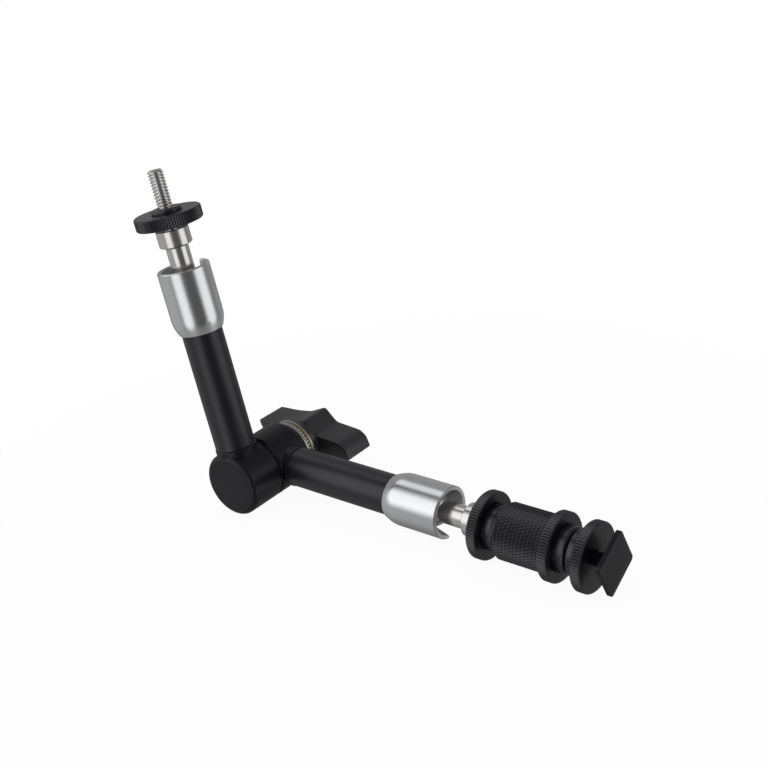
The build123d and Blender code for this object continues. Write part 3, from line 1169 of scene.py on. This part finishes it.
@dataclass
class WingKnob:
    """The moulded wing knob: an S-shaped wing over a round boss, hollow for its metal insert.

    The wing's outline is a closed line through the corners of one half and the same corners
    turned half a turn, smoothed by averaging neighbours along it. The wing's rows are that
    outline moved inward, so the sides draft inward and the top edge rounds over.
    """

    line: TurningLine
    boss_r: float = 9.0
    boss_chamfer: float = 0.5
    boss_start: float = 22.8
    flare: float = 0.2
    flare_start: float = 0.6
    flare_end: float = 0.15
    insert_r: float = 6.4
    insert_end: float = 41.6
    middle_r: float = 1.0
    wing_start: float = 28.6
    wing_end: float = 44.2
    low_edge: float = 0.8
    low_bulge: tuple[float, float] = (0.25, 0.2)
    edge_r: float = 0.9
    draft: float = 0.1
    under_shares: tuple[float, ...] = (0.25, 0.5, 0.75, 1.0)
    wall_shares: tuple[float, ...] = (0.2, 0.4, 0.6, 0.8, 1.0)
    edge_turns_deg: tuple[float, ...] = (15, 30, 45, 60, 75, 90)
    top_shares: tuple[float, ...] = (0.8, 0.6, 0.4, 0.2)
    columns: int = 360
    half: tuple[tuple[float, float], ...] = (
        (-26.7, 4.2),
        (-15.0, 4.9),
        (-7.0, 6.2),
        (2.0, 10.2),
        (8.0, 4.3),
        (21.6, 3.36),
        (24.8, 1.0),
    )
    rounding: float = 0.95

    def outline(self) -> np.ndarray:
        """Points clockwise round the wing as (toward the lower arm, up), evenly spaced."""
        half = np.array(self.half)
        corners = np.concatenate([half, -half, half[:1]])
        lengths = np.concatenate([[0], np.cumsum(np.linalg.norm(np.diff(corners, axis=0), axis=1))])
        even = np.linspace(0, lengths[-1], self.columns, endpoint=False)
        ring = np.stack([np.interp(even, lengths, corners[:, k]) for k in range(2)], axis=-1)
        offsets = np.minimum(even, lengths[-1] - even)
        kernel = np.exp(-((offsets / self.rounding) ** 2) / 2)
        spectrum = np.fft.rfft(kernel / kernel.sum())[:, None]
        return np.fft.irfft(np.fft.rfft(ring, axis=0) * spectrum, n=self.columns, axis=0)

    @staticmethod
    def inset(ring: np.ndarray, distance: float) -> np.ndarray:
        """Moves a clockwise outline inward along its own normals.

        Args:
            ring: The outline's points.
            distance: How far.

        Returns:
            The moved points.
        """
        ahead = np.roll(ring, -1, axis=0) - np.roll(ring, 1, axis=0)
        outward = np.stack([-ahead[:, 1], ahead[:, 0]], axis=-1)
        return ring - distance * outward / np.linalg.norm(outward, axis=1, keepdims=True)

    def rows(self) -> list[tuple[np.ndarray, float]]:
        """The surface's rings, each with its station: the insert's hole, boss, wing and top."""
        wing = self.outline()
        circle = wing / np.linalg.norm(wing, axis=1, keepdims=True)
        flared = circle * (self.boss_r + self.flare)
        under = self.inset(wing, self.low_edge)
        bulge_in, bulge_up = self.low_bulge
        wall_start = self.wing_start + self.low_edge
        wall_end = self.wing_end - self.edge_r
        top = self.inset(wing, self.draft + self.edge_r)
        rows = [
            (circle * self.middle_r, self.insert_end),
            (circle * self.insert_r, self.insert_end),
            (circle * self.insert_r, self.boss_start),
            (circle * (self.boss_r - self.boss_chamfer), self.boss_start),
            (circle * self.boss_r, self.boss_start + self.boss_chamfer),
            (circle * self.boss_r, self.wing_start - self.flare_start),
            (flared, self.wing_start - self.flare_end),
        ]
        for share in self.under_shares:
            rows.append((flared * (1 - share) + under * share, self.wing_start))
        rows.append((self.inset(wing, bulge_in), self.wing_start + bulge_up))
        rows.append((wing, wall_start))
        for share in self.wall_shares:
            height = wall_start + share * (wall_end - wall_start)
            rows.append((self.inset(wing, self.draft * share), height))
        for turn in np.radians(self.edge_turns_deg):
            drawn = self.draft + self.edge_r * (1 - math.cos(turn))
            rows.append((self.inset(wing, drawn), wall_end + self.edge_r * math.sin(turn)))
        for share in self.top_shares:
            rows.append((top * share, self.wing_end))
        return rows

    def build(self, shop: Workshop) -> None:
        """Makes the knob and puts it in its node's place.

        The line's side direction points down, so the outline's height is negated.

        Args:
            shop: The arm's workshop.
        """
        rings, stations = zip(*self.rows())
        plane = np.stack(rings)
        points = self.line.place(plane[..., 0], -plane[..., 1], np.array(stations)[:, None])
        piece = skin("wing_knob_moulded", points, Ends.POLES)
        shop.stand_for("wing_knob", "knob", piece, KNOB_PLASTIC, self.line)


@dataclass
class Elbow:
    """The elbow's lock and the pieces round it."""

    line: TurningLine

    def build(self, shop: Workshop) -> None:
        """Builds the cage, bolt and knob and dresses the kept nodes.

        Args:
            shop: The arm's workshop.
        """
        ThrustCage("thrust_cage", "press_stack", self.line).build(shop)
        DrawBolt("draw_bolt", "bolt", self.line).build(shop)
        WingKnob(self.line).build(shop)
        for finish, nodes in (
            (BLACK_DULL, ("upper_head", "lower_head", "front_cap")),
            (POLISHED_STEEL, ("rear_wedge", "knob_insert")),
            (WASHER_STEEL, ("inner_thrust_washer", "outer_thrust_washer")),
            (SEAT_PLASTIC, ("friction_washer",)),
        ):
            for node in nodes:
                shop.keep(node, finish, self.line)


@dataclass
class ArmTube:
    """One arm: the tube, its collar, and the push rod, ball seat and ball stud inside."""

    name: str
    line: TurningLine

    def build(self, shop: Workshop) -> None:
        """Dresses the arm's kept nodes and builds its ball stud.

        Args:
            shop: The arm's workshop.
        """
        for part, finish in (
            ("tube", BLACK_ANODISED),
            ("socket", TURNED_ALUMINIUM),
            ("push_rod", POLISHED_STEEL),
            ("ball_seat", SEAT_PLASTIC),
        ):
            shop.keep(f"{self.name}_{part}", finish, self.line)
        BallStud(f"{self.name}_ball_stud", f"{self.name}_stud", self.line).build(shop)


@dataclass(frozen=True)
class Glow:
    """A soft patch of the world as reflections see it.

    Its light is its strength times a smooth step of the cosine between the ray and its
    direction, from nothing at its edge to all of it at its heart. A tall patch squashes both
    directions' heights first.
    """

    toward: Direction
    edge_deg: float
    heart_deg: float
    strength: float
    tall: float = 1.0

    def light(self, canvas: NodeCanvas, ray: Socket) -> Socket:
        """Builds the patch in the world's nodes.

        Args:
            canvas: The world's canvas.
            ray: The ray's direction.

        Returns:
            The patch's light.
        """
        squash = Vector((1, 1, 1 / self.tall))
        aim = (Vector(self.toward).normalized() * squash).normalized()
        squashed = canvas.vector("MULTIPLY", ray, tuple(squash))
        cosine = canvas.vector("DOT_PRODUCT", canvas.vector("NORMALIZE", squashed), tuple(aim))
        edge = math.cos(math.radians(self.edge_deg))
        heart = math.cos(math.radians(self.heart_deg))
        return canvas.smooth_step(cosine, edge, heart, self.strength)


@dataclass(frozen=True)
class Lamp:
    """A soft square lamp, whose size and distance are in millimetres and power in watts."""

    name: str
    toward: Direction
    power: float
    size: float = 800.0
    far: float = 1000.0

    def build(self, target: Vector) -> None:
        """Places the lamp. Reflections show the glows instead.

        Args:
            target: The point that it looks at, in metres.
        """
        data = bpy.data.lights.new(self.name, "AREA")
        data.shape = "SQUARE"
        data.size = self.size * MM
        data.energy = self.power
        lamp = linked(self.name, data)
        lamp.visible_glossy = False
        direction = Vector(self.toward).normalized()
        facing = direction.to_track_quat("Z", "Y").to_matrix().to_4x4()
        lamp.matrix_world = Matrix.Translation(target + direction * self.far * MM) @ facing


@dataclass
class Studio:
    """The camera at the photograph's angle, a pale floor, soft lamps and the world."""

    azimuth_deg: float = 40.7128
    elevation_deg: float = 25.0907
    roll_deg: float = -6.3391
    distance: float = 549.30
    sensor: float = 36.0
    clip_m: tuple[float, float] = (0.01, 20.0)
    photo_width: int = 768
    pixels_per_mm: float = 2.30547
    elbow_pixel: tuple[float, float] = (259.55, 467.60)
    floor_r: float = 270.0
    floor_fade_r: float = 150.0
    floor_sides: int = 96
    floor_tone: float = 0.9
    floor_glow: float = 0.95
    reflected_grey: float = 0.22
    daylight: float = 0.42
    lamp_aim_height: float = 60.0
    lamps: tuple[Lamp, ...] = (
        Lamp("key", (-0.59, -0.66, 0.42), 3.6),
        Lamp("fill", (0.80, 0.30, 0.60), 1.6),
        Lamp("top", (-0.1, 0.3, 1.0), 1.6, 700.0),
    )
    glows: tuple[Glow, ...] = (
        Glow((-0.56, -0.65, 0.50), 45, 12, 0.92),
        Glow((-0.85, -0.50, -0.20), 56, 18, 0.21),
        Glow((0.17, -0.98, -0.17), 27, 8, 0.86, 2.2),
        Glow((0.92, 0.38, -0.10), 30, 7, 0.82, 2.2),
        Glow((0.90, -0.42, -0.08), 34, 12, -0.12, 1.5),
        Glow((-0.15, 0.97, -0.20), 40, 12, 0.08),
        Glow((-0.58, 0.72, 0.38), 38, 14, 0.10),
        Glow((-0.57, 0.17, 0.80), 19, 4, 0.70),
        Glow((-0.58, -0.20, 0.79), 18, 6, -0.42),
    )

    def view_axes(self) -> tuple[np.ndarray, np.ndarray, np.ndarray]:
        """The camera's right, up and backward directions."""
        turn = math.radians(self.azimuth_deg)
        rise = math.radians(self.elevation_deg)
        roll = math.radians(self.roll_deg)
        right = np.array([math.cos(turn), math.sin(turn), 0])
        back = np.array([math.sin(turn) * math.cos(rise), -math.cos(turn) * math.cos(rise), math.sin(rise)])
        up = np.cross(back, right)
        rolled_right = math.cos(roll) * right + math.sin(roll) * up
        rolled_up = -math.sin(roll) * right + math.cos(roll) * up
        return rolled_right, rolled_up, back

    def build_camera(self, elbow: np.ndarray) -> None:
        """Places the camera so that the elbow's centre falls on its pixel of the photograph.

        Args:
            elbow: The elbow's centre.
        """
        right, up, back = self.view_axes()
        middle = self.photo_width / 2
        eye = (
            elbow
            + back * self.distance
            - right * (self.elbow_pixel[0] - middle) / self.pixels_per_mm
            + up * (self.elbow_pixel[1] - middle) / self.pixels_per_mm
        )
        data = bpy.data.cameras.new("camera")
        data.sensor_width = self.sensor
        data.lens = self.pixels_per_mm * self.distance * self.sensor / self.photo_width
        data.clip_start, data.clip_end = self.clip_m
        camera = linked("camera", data)
        axes = np.stack([right, up, back], axis=-1)
        camera.matrix_world = Matrix.Translation(Vector(eye * MM)) @ Matrix(axes.tolist()).to_4x4()
        bpy.context.scene.camera = camera

    def build_floor(self) -> None:
        """Makes the pale floor: a disc that keeps the shadow, fades out and isn't reflected."""
        angles = angles_round(self.floor_sides)[0]
        rim = np.stack([np.cos(angles), np.sin(angles), 0 * angles], axis=-1) * self.floor_r * MM
        mesh = bpy.data.meshes.new("floor")
        mesh.from_pydata(rim.tolist(), [], [list(range(self.floor_sides))])
        floor = linked("floor", mesh)
        material = bpy.data.materials.new("pale_floor")
        material.use_nodes = True
        canvas = NodeCanvas(material.node_tree)
        tone = (self.floor_tone, self.floor_tone, self.floor_tone, 1)
        matt = canvas.add("ShaderNodeBsdfDiffuse", {"Color": tone}).outputs[0]
        glow = canvas.add("ShaderNodeEmission", {"Color": WHITE, "Strength": 1.0}).outputs[0]
        clear = canvas.add("ShaderNodeBsdfTransparent").outputs[0]
        path = canvas.add("ShaderNodeLightPath").outputs
        seen = canvas.maths("MULTIPLY", path["Is Camera Ray"], self.floor_glow)
        lit = canvas.mix_shaders(seen, matt, glow)
        shown = canvas.mix_shaders(path["Is Glossy Ray"], lit, clear)
        radius = canvas.vector("LENGTH", canvas.add("ShaderNodeTexCoord").outputs["Object"])
        fade = canvas.smooth_step(radius, self.floor_fade_r * MM, self.floor_r * MM)
        surface = canvas.mix_shaders(fade, shown, clear)
        canvas.add("ShaderNodeOutputMaterial", {"Surface": surface})
        mesh.materials.append(material)

    def build_world(self) -> None:
        """White behind the object, grey as light, and for reflections grey with soft glows."""
        world = bpy.data.worlds.new("studio")
        bpy.context.scene.world = world
        world.use_nodes = True
        canvas = NodeCanvas(world.node_tree)
        path = canvas.add("ShaderNodeLightPath").outputs
        ray = canvas.add("ShaderNodeTexCoord").outputs["Generated"]
        total: Socket | float = self.reflected_grey
        for glow in self.glows:
            total = canvas.maths("ADD", glow.light(canvas, ray), total)

        def background(colour: Socket | tuple, strength: float) -> Socket:
            """A plain background shader."""
            return canvas.add("ShaderNodeBackground", {"Color": colour, "Strength": strength}).outputs[0]

        lit = background(WHITE, self.daylight)
        unseen = canvas.mix_shaders(path["Is Glossy Ray"], lit, background(total, 1.0))
        surface = canvas.mix_shaders(path["Is Camera Ray"], unseen, background(WHITE, 1.0))
        canvas.add("ShaderNodeOutputWorld", {"Surface": surface})

    def build(self, elbow: np.ndarray) -> None:
        """Builds the camera, floor, world and lamps.

        Args:
            elbow: The elbow's centre.
        """
        self.build_camera(elbow)
        self.build_floor()
        self.build_world()
        for lamp in self.lamps:
            lamp.build(Vector((0, 0, self.lamp_aim_height * MM)))
        bpy.context.scene.view_settings.view_transform = "Standard"


def main() -> None:
    """Dresses the arm and builds the studio."""
    logging.basicConfig(level=logging.INFO, format="%(message)s")
    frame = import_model()
    shop = Workshop(frame)
    Elbow(shop.pivot).build(shop)
    ArmTube("upper", shop.upper).build(shop)
    ArmTube("lower", shop.lower).build(shop)
    LockDisc("upper_lock_disc", "lock_disc", shop.upper).build(shop)
    ShoeAdapter(shop.lower).build(shop)
    Studio().build(shop.pivot.origin)


if __name__ == "__main__":
    main()
